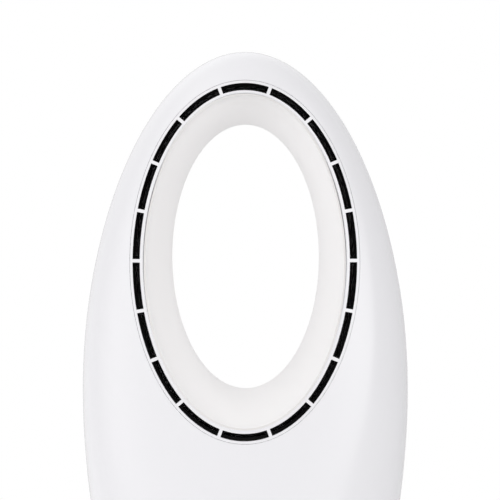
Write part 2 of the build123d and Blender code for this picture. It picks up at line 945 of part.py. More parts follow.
with BuildPart() as blades:
    with BuildSketch(Plane.XY.offset(inlet_z)):
        for step in range(blade_count):
            turn = 360 * step / blade_count
            with BuildLine():
                ThreePointArc(
                    polar(hub_nose_radius - 2, turn),
                    polar(duct_radius / 2, turn - blade_sweep / 2 - blade_bow),
                    polar(duct_radius, turn - blade_sweep),
                )
            trace(line_width=blade_thickness)
    extrude(amount=hub_top_z - inlet_z)
    add(tip_line(tip_clearance, inlet_z + 1, hub_top_z), mode=Mode.INTERSECT)
    add(hub_dome(1.0), mode=Mode.SUBTRACT)

with BuildPart() as impeller:
    add(hub_dome(0))
    add(hub_dome(hub_wall), mode=Mode.SUBTRACT)
    add(blades.part)
    with BuildSketch(Plane.XY.offset(inlet_z)):
        Circle(hub_nose_radius - 1)
    extrude(amount=hub_top_z - inlet_z - 2)
    with BuildSketch(Plane.XY.offset(inlet_z)):
        Circle(shaft_radius)
    extrude(amount=hub_top_z - inlet_z, mode=Mode.SUBTRACT)
save(impeller, "impeller")

with BuildPart() as motor_shaft:
    with BuildSketch(Plane.XY.offset(inlet_z - nut_height - 2)):
        Circle(shaft_radius)
    extrude(amount=motor_top_z - inlet_z + nut_height + 2)
save(motor_shaft, "motor_shaft")

with BuildPart() as impeller_nut:
    with BuildSketch(Plane.XY.offset(inlet_z - nut_height)):
        RegularPolygon(nut_radius, 6)
        Circle(shaft_radius, mode=Mode.SUBTRACT)
    extrude(amount=nut_height)
save(impeller_nut, "impeller_nut")

magnet_z = (motor_z + motor_top_z) / 2 - stator_height / 2

with BuildPart() as rotor_magnet:
    with BuildSketch(Plane.XY.offset(magnet_z)):
        Circle(magnet_radius)
        Circle(shaft_radius, mode=Mode.SUBTRACT)
    extrude(amount=stator_height)
save(rotor_magnet, "rotor_magnet")

with BuildPart() as motor_stator:
    with BuildSketch(Plane.XY.offset(magnet_z)):
        Circle(stator_radius)
        Circle(stator_radius - stator_yoke, mode=Mode.SUBTRACT)
        for step in range(tooth_count):
            with Locations(Location((0, 0, 0), (0, 0, 1), 360 * step / tooth_count)):
                with Locations(((magnet_radius + stator_radius - 1) / 2, 0)):
                    Rectangle(stator_radius - 1 - magnet_radius, tooth_width)
        Circle(magnet_radius + air_gap, mode=Mode.SUBTRACT)
    extrude(amount=stator_height)
save(motor_stator, "motor_stator")

with BuildPart() as motor_windings:
    for step in range(tooth_count):
        place = Plane(
            origin=(*polar(winding_start, 360 * step / tooth_count), magnet_z + stator_height / 2),
            x_dir=(*polar(1, 360 * step / tooth_count + 90), 0),
            z_dir=(*polar(1, 360 * step / tooth_count), 0),
        )
        with BuildSketch(place):
            turns_width = tooth_width + 2 * winding_build
            RectangleRounded(turns_width, stator_height + 2 * winding_build, winding_build)
            Rectangle(tooth_width, stator_height, mode=Mode.SUBTRACT)
        extrude(amount=winding_length)
save(motor_windings, "motor_windings")

with BuildPart() as motor_housing:
    with BuildSketch(Plane.XY.offset(motor_z)):
        Circle(motor_radius)
        Circle(bearing_radius, mode=Mode.SUBTRACT)
        with PolarLocations(motor_screw_circle, motor_screw_count):
            Circle(motor_screw_radius, mode=Mode.SUBTRACT)
    extrude(amount=motor_wall)
    with BuildSketch(Plane.XY.offset(motor_z - cup_wall)):
        Circle(housing_boss_radius)
        Circle(bearing_radius, mode=Mode.SUBTRACT)
    extrude(amount=bearing_width)
    with BuildSketch(Plane.XY.offset(motor_z)):
        Circle(motor_radius)
        Circle(motor_radius - motor_wall, mode=Mode.SUBTRACT)
    extrude(amount=motor_height - motor_wall)
    with BuildSketch(Plane.XY.offset(motor_z - cup_wall)):
        Circle(bearing_radius + 0.5)
        Circle(bearing_radius - 2, mode=Mode.SUBTRACT)
    extrude(amount=0.8)
save(motor_housing, "motor_housing")

with BuildPart() as motor_end_cap:
    with BuildSketch(Plane.XY.offset(motor_top_z - motor_wall)):
        Circle(motor_radius)
        Circle(shaft_radius + 1, mode=Mode.SUBTRACT)
    extrude(amount=motor_wall)
    with BuildSketch(Plane.XY.offset(motor_top_z - motor_wall - bearing_width)):
        Circle(housing_boss_radius)
        Circle(bearing_radius, mode=Mode.SUBTRACT)
    extrude(amount=bearing_width)
save(motor_end_cap, "motor_end_cap")

with BuildPart() as motor_bearings:
    for bottom in (motor_z - cup_wall + 0.8, motor_top_z - motor_wall - bearing_width):
        with BuildSketch(Plane.XY.offset(bottom)):
            Circle(bearing_radius)
            Circle(shaft_radius + running_gap, mode=Mode.SUBTRACT)
        extrude(amount=bearing_width)
save(motor_bearings, "motor_bearings")

with BuildPart() as motor_screws:
    with BuildSketch(Plane.XY.offset(motor_z - cup_wall)):
        with PolarLocations(motor_screw_circle, motor_screw_count):
            Circle(motor_screw_radius)
    extrude(amount=cup_wall + motor_wall)
    with BuildSketch(Plane.XY.offset(motor_z - cup_wall - 1.6)):
        with PolarLocations(motor_screw_circle, motor_screw_count):
            Circle(2 * motor_screw_radius)
    extrude(amount=1.6)
save(motor_screws, "motor_screws")

# ---------------------------------------------------------------- the body's floor and its spindle

spindle_low_z = base_height - spindle_reach
floor_z = body_z + ledge_thickness
gear_low_z = spindle_low_z - gear_face

with BuildPart() as body_floor:
    add(slab(floor_z, floor_z + floor_thickness))
    add(body_fit, mode=Mode.INTERSECT)
    for x, z in mirrored(screw_places[:1]):
        add(rod(x, z, boss_radius + fit_gap, -far / 2, far / 2), mode=Mode.SUBTRACT)
    with BuildSketch(Plane.XY.offset(body_z)):
        Circle(hub_disc_radius)
    extrude(amount=ledge_thickness)
    with BuildSketch(Plane.XY.offset(spindle_low_z)):
        Circle(spindle_radius)
    extrude(amount=body_z - spindle_low_z)
    with BuildSketch(Plane.XY.offset(spindle_low_z)):
        Circle(cable_bore)
    extrude(amount=far / 4, mode=Mode.SUBTRACT)
    with BuildSketch(Plane.XY.offset(spindle_low_z)):
        with PolarLocations((spindle_radius + cable_bore) / 2, gear_screw_count):
            Circle(gear_screw_radius)
    extrude(amount=gear_screw_length, mode=Mode.SUBTRACT)
save(body_floor, "body_floor")


def race(z, name):
    """A flat steel ring that the balls roll on."""
    with BuildPart() as ring:
        with BuildSketch(Plane.XY.offset(z)):
            Circle(ball_circle + race_width / 2)
            Circle(ball_circle - race_width / 2, mode=Mode.SUBTRACT)
        extrude(amount=race_thickness)
    save(ring, name)


race_low_z = base_height - trough_depth
race(body_z - race_thickness, "upper_race")
race(race_low_z, "lower_race")
ball_z = (race_low_z + body_z) / 2

with BuildPart() as bearing_balls:
    with Locations(Plane.XY.offset(ball_z)):
        with PolarLocations(ball_circle, ball_count):
            Sphere(ball_radius)
save(bearing_balls, "bearing_balls")

with BuildPart() as ball_cage:
    with BuildSketch(Plane.XY.offset(ball_z - cage_thickness / 2)):
        Circle(ball_circle + race_width / 2)
        Circle(ball_circle - race_width / 2, mode=Mode.SUBTRACT)
        with PolarLocations(ball_circle, ball_count):
            Circle(ball_radius + running_gap, mode=Mode.SUBTRACT)
    extrude(amount=cage_thickness)
save(ball_cage, "ball_cage")

# ---------------------------------------------------------------- swing drive


def involute(angle):
    """The involute of a pressure angle in radians."""
    return math.tan(angle) - angle


def gear_outline(teeth, bore):
    """A spur gear's outline with a tooth on the +X axis and a round bore."""
    pitch = gear_module * teeth / 2
    base = pitch * math.cos(math.radians(pressure_angle))
    tip = pitch + gear_module
    root = pitch - 1.25 * gear_module
    centre = math.pi / (2 * teeth) + involute(math.radians(pressure_angle)) - backlash / (2 * pitch)
    flank = []
    for step in range(flank_points):
        radius = max(root, base) + (tip - max(root, base)) * step / (flank_points - 1)
        flank.append((radius, math.degrees(centre - involute(math.acos(base / radius)))))
    with BuildSketch() as outline:
        Circle(root)
        for tooth in range(teeth):
            turn = 360 * tooth / teeth
            with BuildLine():
                lower = Spline(*[polar(radius, turn - angle) for radius, angle in flank])
                upper = Spline(*[polar(radius, turn + angle) for radius, angle in flank])
                Line(lower @ 1, upper @ 1)
                foot_low = polar(root - 0.3, turn - flank[0][1])
                foot_high = polar(root - 0.3, turn + flank[0][1])
                Polyline(lower @ 0, foot_low, foot_high, upper @ 0)
            make_face()
        Circle(bore, mode=Mode.SUBTRACT)
    return outline.sketch


gear_reach = gear_module * (gear_teeth + pinion_teeth) / 2

with BuildPart() as pivot_gear:
    with BuildSketch(Plane.XY.offset(gear_low_z)):
        add(gear_outline(gear_teeth, cable_bore))
        with PolarLocations((spindle_radius + cable_bore) / 2, gear_screw_count):
            Circle(gear_screw_radius + screw_clearance, mode=Mode.SUBTRACT)
        with PolarLocations((spindle_radius + gear_module * gear_teeth / 2) / 2, gear_window_count):
            Circle(gear_window_radius, mode=Mode.SUBTRACT)
    extrude(amount=gear_face)
save(pivot_gear, "pivot_gear")

with BuildPart() as gear_screws:
    with BuildSketch(Plane.XY.offset(gear_low_z)):
        with PolarLocations((spindle_radius + cable_bore) / 2, gear_screw_count):
            Circle(gear_screw_radius)
    extrude(amount=gear_face + gear_screw_length)
    with BuildSketch(Plane.XY.offset(gear_low_z - screw_head_height)):
        with PolarLocations((spindle_radius + cable_bore) / 2, gear_screw_count):
            Circle(gear_screw_radius + 1.2)
    extrude(amount=screw_head_height)
save(gear_screws, "gear_screws")

pinion_low_z = gear_low_z - (pinion_face - gear_face) / 2

with BuildPart() as drive_gear:
    with BuildSketch(Plane.XY.offset(pinion_low_z)):
        with Locations((0, gear_reach)):
            add(gear_outline(pinion_teeth, swing_shaft_radius))
    extrude(amount=pinion_face)
save(drive_gear, "drive_gear")

motor_high_z = floor_inside_z + swing_motor_height

with BuildPart() as swing_motor_shaft:
    with BuildSketch(Plane.XY.offset(motor_high_z)):
        with Locations((0, gear_reach)):
            Circle(swing_shaft_radius)
    extrude(amount=pinion_low_z + pinion_face - motor_high_z)
save(swing_motor_shaft, "swing_motor_shaft")

swing_motor_y = gear_reach + swing_shaft_offset
ear_places = ((-swing_ear_reach, swing_motor_y), (swing_ear_reach, swing_motor_y))

with BuildPart() as swing_motor:
    with BuildSketch(Plane.XY.offset(floor_inside_z)):
        with Locations((0, swing_motor_y)):
            Circle(swing_motor_radius)
    extrude(amount=swing_motor_height - 1)
    with BuildSketch(Plane.XY.offset(floor_inside_z)):
        with Locations((0, gear_reach)):
            Circle(2 * swing_shaft_radius)
    extrude(amount=swing_motor_height)
    with BuildSketch(Plane.XY.offset(floor_inside_z)):
        with Locations((0, swing_motor_y)):
            SlotCenterToCenter(2 * swing_ear_reach, 2 * swing_ear_radius)
        with Locations(*ear_places):
            Circle(swing_screw_radius + screw_clearance, mode=Mode.SUBTRACT)
    extrude(amount=ear_thickness)
    with BuildSketch(Plane.XY.offset(floor_inside_z)):
        with Locations((0, swing_motor_y + swing_motor_radius)):
            Rectangle(terminal_width, terminal_depth)
    extrude(amount=swing_motor_height - terminal_depth / 2)
save(swing_motor, "swing_motor")

with BuildPart() as swing_motor_screws:
    with BuildSketch(Plane.XY.offset(plate_z + 0.4)):
        with Locations(*ear_places):
            Circle(swing_screw_radius)
    extrude(amount=plate_thickness + ear_thickness - 0.4)
    with BuildSketch(Plane.XY.offset(floor_inside_z + ear_thickness)):
        with Locations(*ear_places):
            Circle(2 * swing_screw_radius)
    extrude(amount=1.6)
save(swing_motor_screws, "swing_motor_screws")

# ---------------------------------------------------------------- base

collar_radius = spindle_radius + running_gap + bush_wall
trough_inner = ball_circle - race_width / 2 - 0.6
trough_outer = ball_circle + race_width / 2 + 0.6
dome_width = base_radius - deck_radius
dome_height = base_height - rim_height
cover_low_z = floor_inside_z - 1.0


def base_dome(inset):
    """Half of the base's outline from its rim to its axis, at an inset, as a space of revolution."""
    with BuildPart() as dome:
        with BuildSketch(Plane.XZ):
            with BuildLine():
                side = Bezier(
                    (base_radius - inset, rim_height),
                    (base_radius - inset, rim_height + round_fullness * (dome_height - inset)),
                    (deck_radius + round_fullness * (dome_width - inset), base_height - inset),
                    (deck_radius, base_height - inset),
                )
                Polyline(side @ 1, (0, base_height - inset), (0, 0), (base_radius - inset, 0), side @ 0)
            make_face()
        revolve(axis=Axis.Z)
    return dome.part


inlet_low = inlet_centre_z - inlet_half_height - inlet_flange
inlet_tall = 2 * (inlet_half_height + inlet_flange)
inlet_wide = 2 * (inlet_half_width + inlet_flange)

with BuildPart() as base_cover:
    add(base_dome(0))
    add(slab(cover_low_z, base_height), mode=Mode.INTERSECT)
    add(base_dome(base_wall), mode=Mode.SUBTRACT)
    with BuildSketch(Plane.XY.offset(race_low_z - base_wall)):
        Circle(trough_outer + base_wall)
        Circle(trough_inner - base_wall, mode=Mode.SUBTRACT)
    extrude(amount=trough_depth + base_wall)
    with BuildSketch(Plane.XY.offset(race_low_z)):
        Circle(trough_outer)
        Circle(trough_inner, mode=Mode.SUBTRACT)
    extrude(amount=trough_depth, mode=Mode.SUBTRACT)
    with BuildSketch(Plane.XY.offset(gear_low_z + gear_face + gear_clearance)):
        Circle(collar_radius + base_wall)
    extrude(amount=base_height - gear_low_z - gear_face - gear_clearance)
    with BuildSketch(Plane.XY):
        Circle(collar_radius)
    extrude(amount=base_height, mode=Mode.SUBTRACT)
    with BuildSketch(Plane.XY.offset(floor_inside_z)):
        with PolarLocations(base_screw_circle, foot_count):
            Circle(base_post_radius)
    extrude(until=Until.NEXT)
    with BuildSketch(Plane.XY.offset(floor_inside_z)):
        with PolarLocations(base_screw_circle, foot_count):
            Circle(pilot_radius)
    extrude(amount=screw_depth, mode=Mode.SUBTRACT)
    with BuildSketch(Plane.XZ.offset(-inlet_y + inlet_depth)):
        with Locations((0, inlet_centre_z)):
            Rectangle(inlet_wide + 2 * fit_gap, inlet_tall + 2 * fit_gap)
    extrude(amount=-far / 4, mode=Mode.SUBTRACT)
save(base_cover, "base_cover")

with BuildPart() as pivot_bush:
    with BuildSketch(Plane.XY.offset(gear_low_z + gear_face + gear_clearance)):
        Circle(collar_radius)
    extrude(amount=base_height - gear_low_z - gear_face - gear_clearance)
    with BuildSketch(Plane.XY.offset(base_height)):
        Circle(collar_radius + base_wall)
    extrude(amount=bush_flange)
    with BuildSketch(Plane.XY):
        Circle(spindle_radius + running_gap)
    extrude(amount=far / 4, mode=Mode.SUBTRACT)
save(pivot_bush, "pivot_bush")

with BuildPart() as base_plate:
    with BuildSketch(Plane.XY.offset(plate_z)):
        Circle(base_radius - base_wall - fit_gap)
        with PolarLocations(base_screw_circle, foot_count):
            Circle(screw_hole_radius, mode=Mode.SUBTRACT)
        with Locations(*ear_places):
            Circle(swing_screw_radius, mode=Mode.SUBTRACT)
    extrude(amount=plate_thickness)
    with BuildSketch(Plane.XY.offset(plate_z)):
        with PolarLocations(foot_circle, foot_count, first_foot_angle):
            Circle(foot_radius)
    extrude(amount=foot_recess, mode=Mode.SUBTRACT)
    with BuildSketch(Plane.XY.offset(floor_inside_z)):
        with Locations(*board_post_places):
            Circle(board_post_radius)
        with Locations(*board_post_places):
            Circle(board_screw_radius, mode=Mode.SUBTRACT)
    extrude(amount=power_post_height)
save(base_plate, "base_plate")

with BuildPart() as rubber_feet:
    with BuildSketch():
        with PolarLocations(foot_circle, foot_count, first_foot_angle):
            Circle(foot_radius)
    extrude(amount=foot_height)
    chamfer(edges().group_by(Axis.Z)[0], length=foot_chamfer)
save(rubber_feet, "rubber_feet")

with BuildPart() as ballast:
    with BuildSketch(Plane.XY.offset(floor_inside_z)):
        Circle(ballast_outer)
        Circle(ballast_inner, mode=Mode.SUBTRACT)
        with Locations((0, (ballast_inner + ballast_outer) / 2)):
            Rectangle(inlet_wide + 4, far / 4, mode=Mode.SUBTRACT)
    extrude(amount=ballast_height)
save(ballast, "ballast")

with BuildPart() as base_screws:
    with BuildSketch(Plane.XY.offset(plate_z)):
        with PolarLocations(base_screw_circle, foot_count):
            Circle(screw_radius)
    extrude(amount=plate_thickness + screw_depth - 1)
    with BuildSketch(Plane.XY.offset(plate_z - screw_head_height)):
        with PolarLocations(base_screw_circle, foot_count):
            Circle(screw_head_radius)
    extrude(amount=screw_head_height)
save(base_screws, "base_screws")

# ---------------------------------------------------------------- power

power_z_low = floor_inside_z + power_post_height

with BuildPart() as power_board:
    with BuildSketch(Plane.XY.offset(power_z_low)):
        with Locations(power_board_place):
            RectangleRounded(power_board_width, power_board_length, 2.0)
        with Locations(*board_post_places):
            Circle(board_screw_radius + screw_clearance, mode=Mode.SUBTRACT)
    extrude(amount=board_thickness)
save(power_board, "power_board")

with BuildPart() as power_board_screws:
    with BuildSketch(Plane.XY.offset(floor_inside_z)):
        with Locations(*board_post_places):
            Circle(board_screw_radius)
    extrude(amount=power_post_height + board_thickness)
    with BuildSketch(Plane.XY.offset(power_z_low + board_thickness)):
        with Locations(*board_post_places):
            Circle(2 * board_screw_radius)
    extrude(amount=1.5)
save(power_board_screws, "power_board_screws")

board_top_z = power_z_low + board_thickness

with BuildPart() as power_components:
    with BuildSketch(Plane.XY.offset(board_top_z)):
        with Locations((power_board_place[0], power_board_place[1] + power_board_length / 5)):
            RectangleRounded(transformer_width, transformer_length, 1.5)
    extrude(amount=transformer_height)
    with BuildSketch(Plane.XY.offset(board_top_z)):
        with Locations((power_board_place[0], power_board_place[1] - power_board_length / 5)):
            with GridLocations(capacitor_spacing, 0, 2, 1):
                Circle(capacitor_radius)
    extrude(amount=capacitor_height)
save(power_components, "power_components")

with BuildPart() as power_inlet:
    with BuildSketch(Plane.XZ.offset(-inlet_y + inlet_depth)):
        with Locations((0, inlet_centre_z)):
            Rectangle(inlet_wide, inlet_tall)
    extrude(amount=-inlet_depth)
    with BuildSketch(Plane.XZ.offset(-inlet_y)):
        with Locations((0, inlet_centre_z)):
            SlotOverall(socket_width, socket_height)
    extrude(amount=socket_depth, mode=Mode.SUBTRACT)
    with BuildSketch(Plane.XZ.offset(-inlet_y + socket_depth)):
        with Locations((-inlet_pin_spacing / 2, inlet_centre_z), (inlet_pin_spacing / 2, inlet_centre_z)):
            Circle(inlet_pin_radius)
    extrude(amount=far / 4, mode=Mode.SUBTRACT)
    with BuildSketch(Plane.XY.offset(floor_inside_z)):
        with Locations((0, inlet_y - inlet_depth + inlet_foot / 2)):
            Rectangle(inlet_wide, inlet_foot)
    extrude(amount=inlet_low - floor_inside_z)
save(power_inlet, "power_inlet")

with BuildPart() as inlet_pins:
    with BuildSketch(Plane.XZ.offset(-inlet_y + inlet_depth + pin_tail)):
        with Locations((-inlet_pin_spacing / 2, inlet_centre_z), (inlet_pin_spacing / 2, inlet_centre_z)):
            Circle(inlet_pin_radius)
    extrude(amount=-inlet_depth - pin_tail + pin_recess)
save(inlet_pins, "inlet_pins")
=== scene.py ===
"""A glossy white bladeless fan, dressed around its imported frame. Metres; the front faces -Y."""

import json
import math

import bmesh
import bpy
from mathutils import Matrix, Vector
from mathutils.bvhtree import BVHTree


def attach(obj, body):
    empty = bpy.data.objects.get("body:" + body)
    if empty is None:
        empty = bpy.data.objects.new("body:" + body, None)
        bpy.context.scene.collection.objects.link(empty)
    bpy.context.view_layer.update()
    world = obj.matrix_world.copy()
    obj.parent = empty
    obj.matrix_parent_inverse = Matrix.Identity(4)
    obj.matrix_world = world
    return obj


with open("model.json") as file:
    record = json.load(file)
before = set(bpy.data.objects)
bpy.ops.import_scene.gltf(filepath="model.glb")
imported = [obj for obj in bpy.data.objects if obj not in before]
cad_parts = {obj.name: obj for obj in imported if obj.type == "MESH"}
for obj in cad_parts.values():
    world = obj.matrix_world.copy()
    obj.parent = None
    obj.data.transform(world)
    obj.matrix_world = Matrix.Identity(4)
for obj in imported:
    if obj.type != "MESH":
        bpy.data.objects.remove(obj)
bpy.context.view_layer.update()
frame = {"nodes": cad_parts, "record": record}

nodes = frame["nodes"]
scene = bpy.context.scene

# ---------------------------------------------------------------- sizes

# The photograph's frame: the image is 500 pixels square, and the fan's middle stands left of its centre
IMAGE_SIDE = 500
PIXEL_AT_MIDDLE = 0.000864  # metres a pixel spans at the parting plane
CAMERA_DISTANCE = 1.9
CENTRE_X = 0.0041
CENTRE_Z = 0.4455
CAMERA_RISE = 0.055  # how far the camera stands above what it looks at
CAMERA_SIDE = 0.0114  # and to the right of it
CAMERA_NEAR = 0.05
SENSOR = 36.0

FLOOR_RADIUS = 0.62
FLOOR_SIDES = 160
FLOOR_DROP = 0.0002

RAY_START = -0.2  # a plane in front of the whole fan, from which points are cast back onto it

# The ledge under the inner seam follows the outlet ring's inner oval
RING_HALF_WIDTH = 0.086075
RING_HALF_HEIGHT = 0.141225
RING_Z = 0.4379
RING_INSET = 0.0004  # from that oval out to where the ring's face is met
LEDGE_STEPS = 480
LEDGE_NEAR = 0.00002  # from the oval in to the ledge's two sides
LEDGE_FAR = 0.0006
LEDGE_SINK = 0.00012  # below the ring's face
LEDGE_DEPTH = 0.0008
CROWN_SINK = 0.0012  # how much deeper the ledge lies at the crown, where the seam is darkest
CROWN_POWER = 4

# The symbols on the keys and the display, about each one's middle
KEY_Z = 0.106
KEY_X = {"speed_down": -0.0225, "speed_up": -0.0075, "swing": 0.0075, "timer": 0.0225}
POWER_Z = 0.134
DISPLAY_Z = 0.169
INK_LIFT = 0.00005
INK_SINK = 0.0001

# The keys' symbols: line widths, radii and reaches
LINE = 0.00055
POWER_LINE = 0.0008
POWER_RING = 0.0036
SIGN_REACH = 0.002  # half the length of the minus, and of the plus's bars
SWING_ARC = 0.0024
CLOCK_RING = 0.0021
CLOCK_LINE = 0.00045
HAND_LINE = 0.0004

# The display's seven-part digit, its waves, and its meter of rising bars
DIGIT_HALF = 0.0044
DIGIT_WIDTH = 0.0046
SEGMENT_WIDTH = 0.0011
SEGMENT_GAP = 0.0002
WAVE_START = -0.0145
WAVE_STEP = 0.0007
WAVE_POINTS = 9
WAVE_TURN = 60  # degrees from one point of a wave to the next
WAVE_HEIGHT = 0.00045
WAVE_SPACING = 0.0021
WAVE_LINE = 0.0006
METER_BARS = 8
METER_LIT = 5
METER_START = 0.0082
METER_PITCH = 0.0013
METER_FOOT = -0.0028
METER_WIDTH = 0.0008
METER_LOW = 0.0012  # the first bar's height, and what each next one adds
METER_RISE = 0.0006

# ---------------------------------------------------------------- nodes and materials

EVEN = (1, 1, 1)  # a pattern that is squeezed along no axis


class Wiring:
    """Short ways to add and join the nodes of a material or a world."""

    def __init__(self, owner):
        owner.use_nodes = True
        self.tree = owner.node_tree

    def node(self, kind, **settings):
        """Adds a node; settings are its properties, or its inputs by name with _ for spaces."""
        made = self.tree.nodes.new(kind)
        for key, value in settings.items():
            if hasattr(made, key):
                setattr(made, key, value)
            else:
                made.inputs[key.replace("_", " ")].default_value = value
        return made

    def link(self, output, target):
        self.tree.links.new(output, target)

    def maths(self, operation, value, other):
        """One step of arithmetic; other is a number or another output."""
        made = self.node("ShaderNodeMath", operation=operation)
        self.link(value, made.inputs[0])
        if isinstance(other, float):
            made.inputs[1].default_value = other
        else:
            self.link(other, made.inputs[1])
        return made.outputs["Value"]


class Shader(Wiring):
    """A material, with short ways to add the patterns that its surface needs."""

    def __init__(self, name, colour, roughness, metallic=0.0, coat=0.0, coat_roughness=0.08):
        self.material = bpy.data.materials.new(name)
        super().__init__(self.material)
        self.base = self.tree.nodes["Principled BSDF"]
        self.base.inputs["Base Color"].default_value = (*colour, 1.0)
        self.base.inputs["Roughness"].default_value = roughness
        self.base.inputs["Metallic"].default_value = metallic
        self.base.inputs["Coat Weight"].default_value = coat
        self.base.inputs["Coat Roughness"].default_value = coat_roughness
        coordinates = self.node("ShaderNodeTexCoord")
        self.place = coordinates.outputs["Object"]
        self.facing = coordinates.outputs["Normal"]
        self.normal = None

    def noise(self, size, detail, squeeze=EVEN):
        """A noise whose blotches are about size metres across, squeezed along the object's axes."""
        made = self.node("ShaderNodeTexNoise", Scale=1 / size, Detail=detail)
        mapping = self.node("ShaderNodeMapping", Scale=squeeze)
        self.link(self.place, mapping.inputs["Vector"])
        self.link(mapping.outputs["Vector"], made.inputs["Vector"])
        return made.outputs["Fac"]

    def cells(self, size):
        """Voronoi cells about size metres across: the distance to the nearest cell's middle."""
        made = self.node("ShaderNodeTexVoronoi", Scale=1 / size)
        self.link(self.place, made.inputs["Vector"])
        return made.outputs["Distance"]

    def layers(self, size):
        """Level bands that repeat every size metres."""
        made = self.node("ShaderNodeTexWave", bands_direction="Z", Scale=math.pi / (10 * size))
        self.link(self.place, made.inputs["Vector"])
        return made.outputs["Fac"]

    def ramp(self, value, low, high, start=0.3, end=0.7):
        """Maps a pattern's middle range onto low to high."""
        made = self.node("ShaderNodeMapRange", From_Min=start, From_Max=end, To_Min=low, To_Max=high)
        self.link(value, made.inputs["Value"])
        return made.outputs["Result"]

    def colours(self, value, low, high, start=0.3, end=0.7):
        """Colours the surface from low to high along a pattern."""
        made = self.node("ShaderNodeValToRGB")
        for element, position, colour in zip(made.color_ramp.elements, (start, end), (low, high)):
            element.position = position
            element.color = (*colour, 1.0)
        self.link(value, made.inputs["Fac"])
        self.link(made.outputs["Color"], self.base.inputs["Base Color"])

    def roughness(self, value, low, high):
        self.link(self.ramp(value, low, high), self.base.inputs["Roughness"])

    def relief(self, value, height):
        """Adds bump from a pattern, height metres deep, over what is already there."""
        made = self.node("ShaderNodeBump", Strength=1.0, Distance=height)
        self.link(value, made.inputs["Height"])
        if self.normal is not None:
            self.link(self.normal, made.inputs["Normal"])
        self.normal = made.outputs["Normal"]
        self.link(self.normal, self.base.inputs["Normal"])


# Sizes of what the patterns stand for
FLECK = 0.0012  # the grain in a moulding's colour
MOULD_WAVE = 0.004  # the slow wave in its surface
GLOSS_WAVE_HEIGHT = 0.000006
DUCT_WAVE_HEIGHT = 0.000004
ORANGE_PEEL = 0.0007
PEEL_SHARE = 1 / 6  # its height, as a share of the wave's
SPARK_GRAIN = 0.0006
FOAM_CELL = 0.0011
TRACKS_SCALE = 120.0  # of the circuit board's brick pattern: about 4 mm by 2 mm
WIRE = 0.0005
STEEL_SHEET = 0.0005

WHITE = (0.872, 0.865, 0.889)
WHITE_SHADE = (0.864, 0.857, 0.882)
KEY_WHITE = (0.8, 0.807, 0.82)
KEY_SHADE = (0.775, 0.783, 0.795)
DUCT_WHITE = (0.938, 0.925, 0.926)
# Painted shade: the darker colour the duct's lip gets where it faces the front
DUCT_LIP_PAINTED_SHADE = (0.8, 0.78, 0.77)
CHANNEL = (0.0162, 0.0158, 0.0166)
CHANNEL_DARK = (0.0153, 0.0149, 0.0157)
CHANNEL_LIGHT = (0.0171, 0.0167, 0.0175)


def gloss_plastic(name, light, dark, rough=(0.11, 0.16), coat=0.0):
    """Polished moulding: a faint fleck, a slow mould wave and a very fine orange peel."""
    made = Shader(name, light, rough[0], coat=coat, coat_roughness=0.03)
    made.colours(made.noise(FLECK, 2.0), dark, light, 0.2, 0.8)
    made.roughness(made.noise(0.03, 2.0), *rough)
    made.relief(made.noise(MOULD_WAVE, 1.0), GLOSS_WAVE_HEIGHT)
    made.relief(made.noise(ORANGE_PEEL, 1.0), GLOSS_WAVE_HEIGHT * PEEL_SHARE)
    return made.material


def duct_plastic(name):
    """The loop's bright duct: satin, with painted shade that darkens the lip where it faces the front."""
    made = Shader(name, DUCT_WHITE, 0.33)
    facing = made.node("ShaderNodeSeparateXYZ")
    made.link(made.facing, facing.inputs["Vector"])
    # Painted shade: where the lip faces the front, its colour is darkened towards the lip colour
    off_shaded_lip = made.ramp(facing.outputs["Y"], 0.0, 1.0, -0.85, -0.6)
    fleck = made.ramp(made.noise(FLECK, 2.0), -0.04, 0.04, 0.2, 0.8)
    made.colours(made.maths("ADD", off_shaded_lip, fleck), DUCT_LIP_PAINTED_SHADE, DUCT_WHITE, 0.0, 0.98)
    made.roughness(made.noise(FLECK, 2.0), 0.3, 0.36)
    made.relief(made.noise(MOULD_WAVE, 1.0), DUCT_WAVE_HEIGHT)
    return made.material


def matt_plastic(name, light, dark, rough=(0.45, 0.6)):
    """Moulding with a spark-eroded grain."""
    made = Shader(name, light, rough[0])
    made.colours(made.noise(0.012, 6.0), dark, light)
    made.roughness(made.noise(0.003, 4.0), *rough)
    made.relief(made.cells(SPARK_GRAIN), 0.00003)
    return made.material


def channel_plastic(name):
    """Dull black moulding inside the air channel, with hardly any sheen."""
    made = Shader(name, CHANNEL, 0.8)
    made.base.inputs["Specular IOR Level"].default_value = 0.12
    made.colours(made.noise(0.004, 3.0), CHANNEL_DARK, CHANNEL_LIGHT)
    made.roughness(made.noise(0.002, 2.0), 0.75, 0.85)
    made.relief(made.noise(0.0008, 2.0), 0.000004)
    return made.material


def steel(name, light, dark, rough=(0.2, 0.4), squeeze=(1, 1, 12), grain=0.002):
    """Worked metal, whose marks may be squeezed thin along one axis."""
    made = Shader(name, light, rough[0], metallic=1.0)
    marks = made.noise(grain, 6.0, squeeze)
    made.colours(marks, dark, light)
    made.roughness(marks, *rough)
    made.relief(marks, 0.00001)
    return made.material


def foam(name):
    """Dark foam: small rough cells, with painted shade in the sunken gaps between them."""
    made = Shader(name, (0.05, 0.05, 0.052), 0.9)
    gaps = made.cells(FOAM_CELL)
    # Painted shade: the sunken gaps between the cells are coloured darker
    made.colours(gaps, (0.13, 0.13, 0.135), (0.01, 0.01, 0.01), 0.2, 0.75)
    made.relief(gaps, -0.0006)
    return made.material


def rubber(name):
    """Soft black rubber with a bloom of dust."""
    made = Shader(name, (0.03, 0.03, 0.03), 0.75)
    made.colours(made.noise(0.004, 8.0), (0.018, 0.018, 0.018), (0.06, 0.06, 0.058))
    made.roughness(made.noise(0.002, 4.0), 0.6, 0.85)
    made.relief(made.noise(0.0005, 3.0), 0.00003)
    return made.material


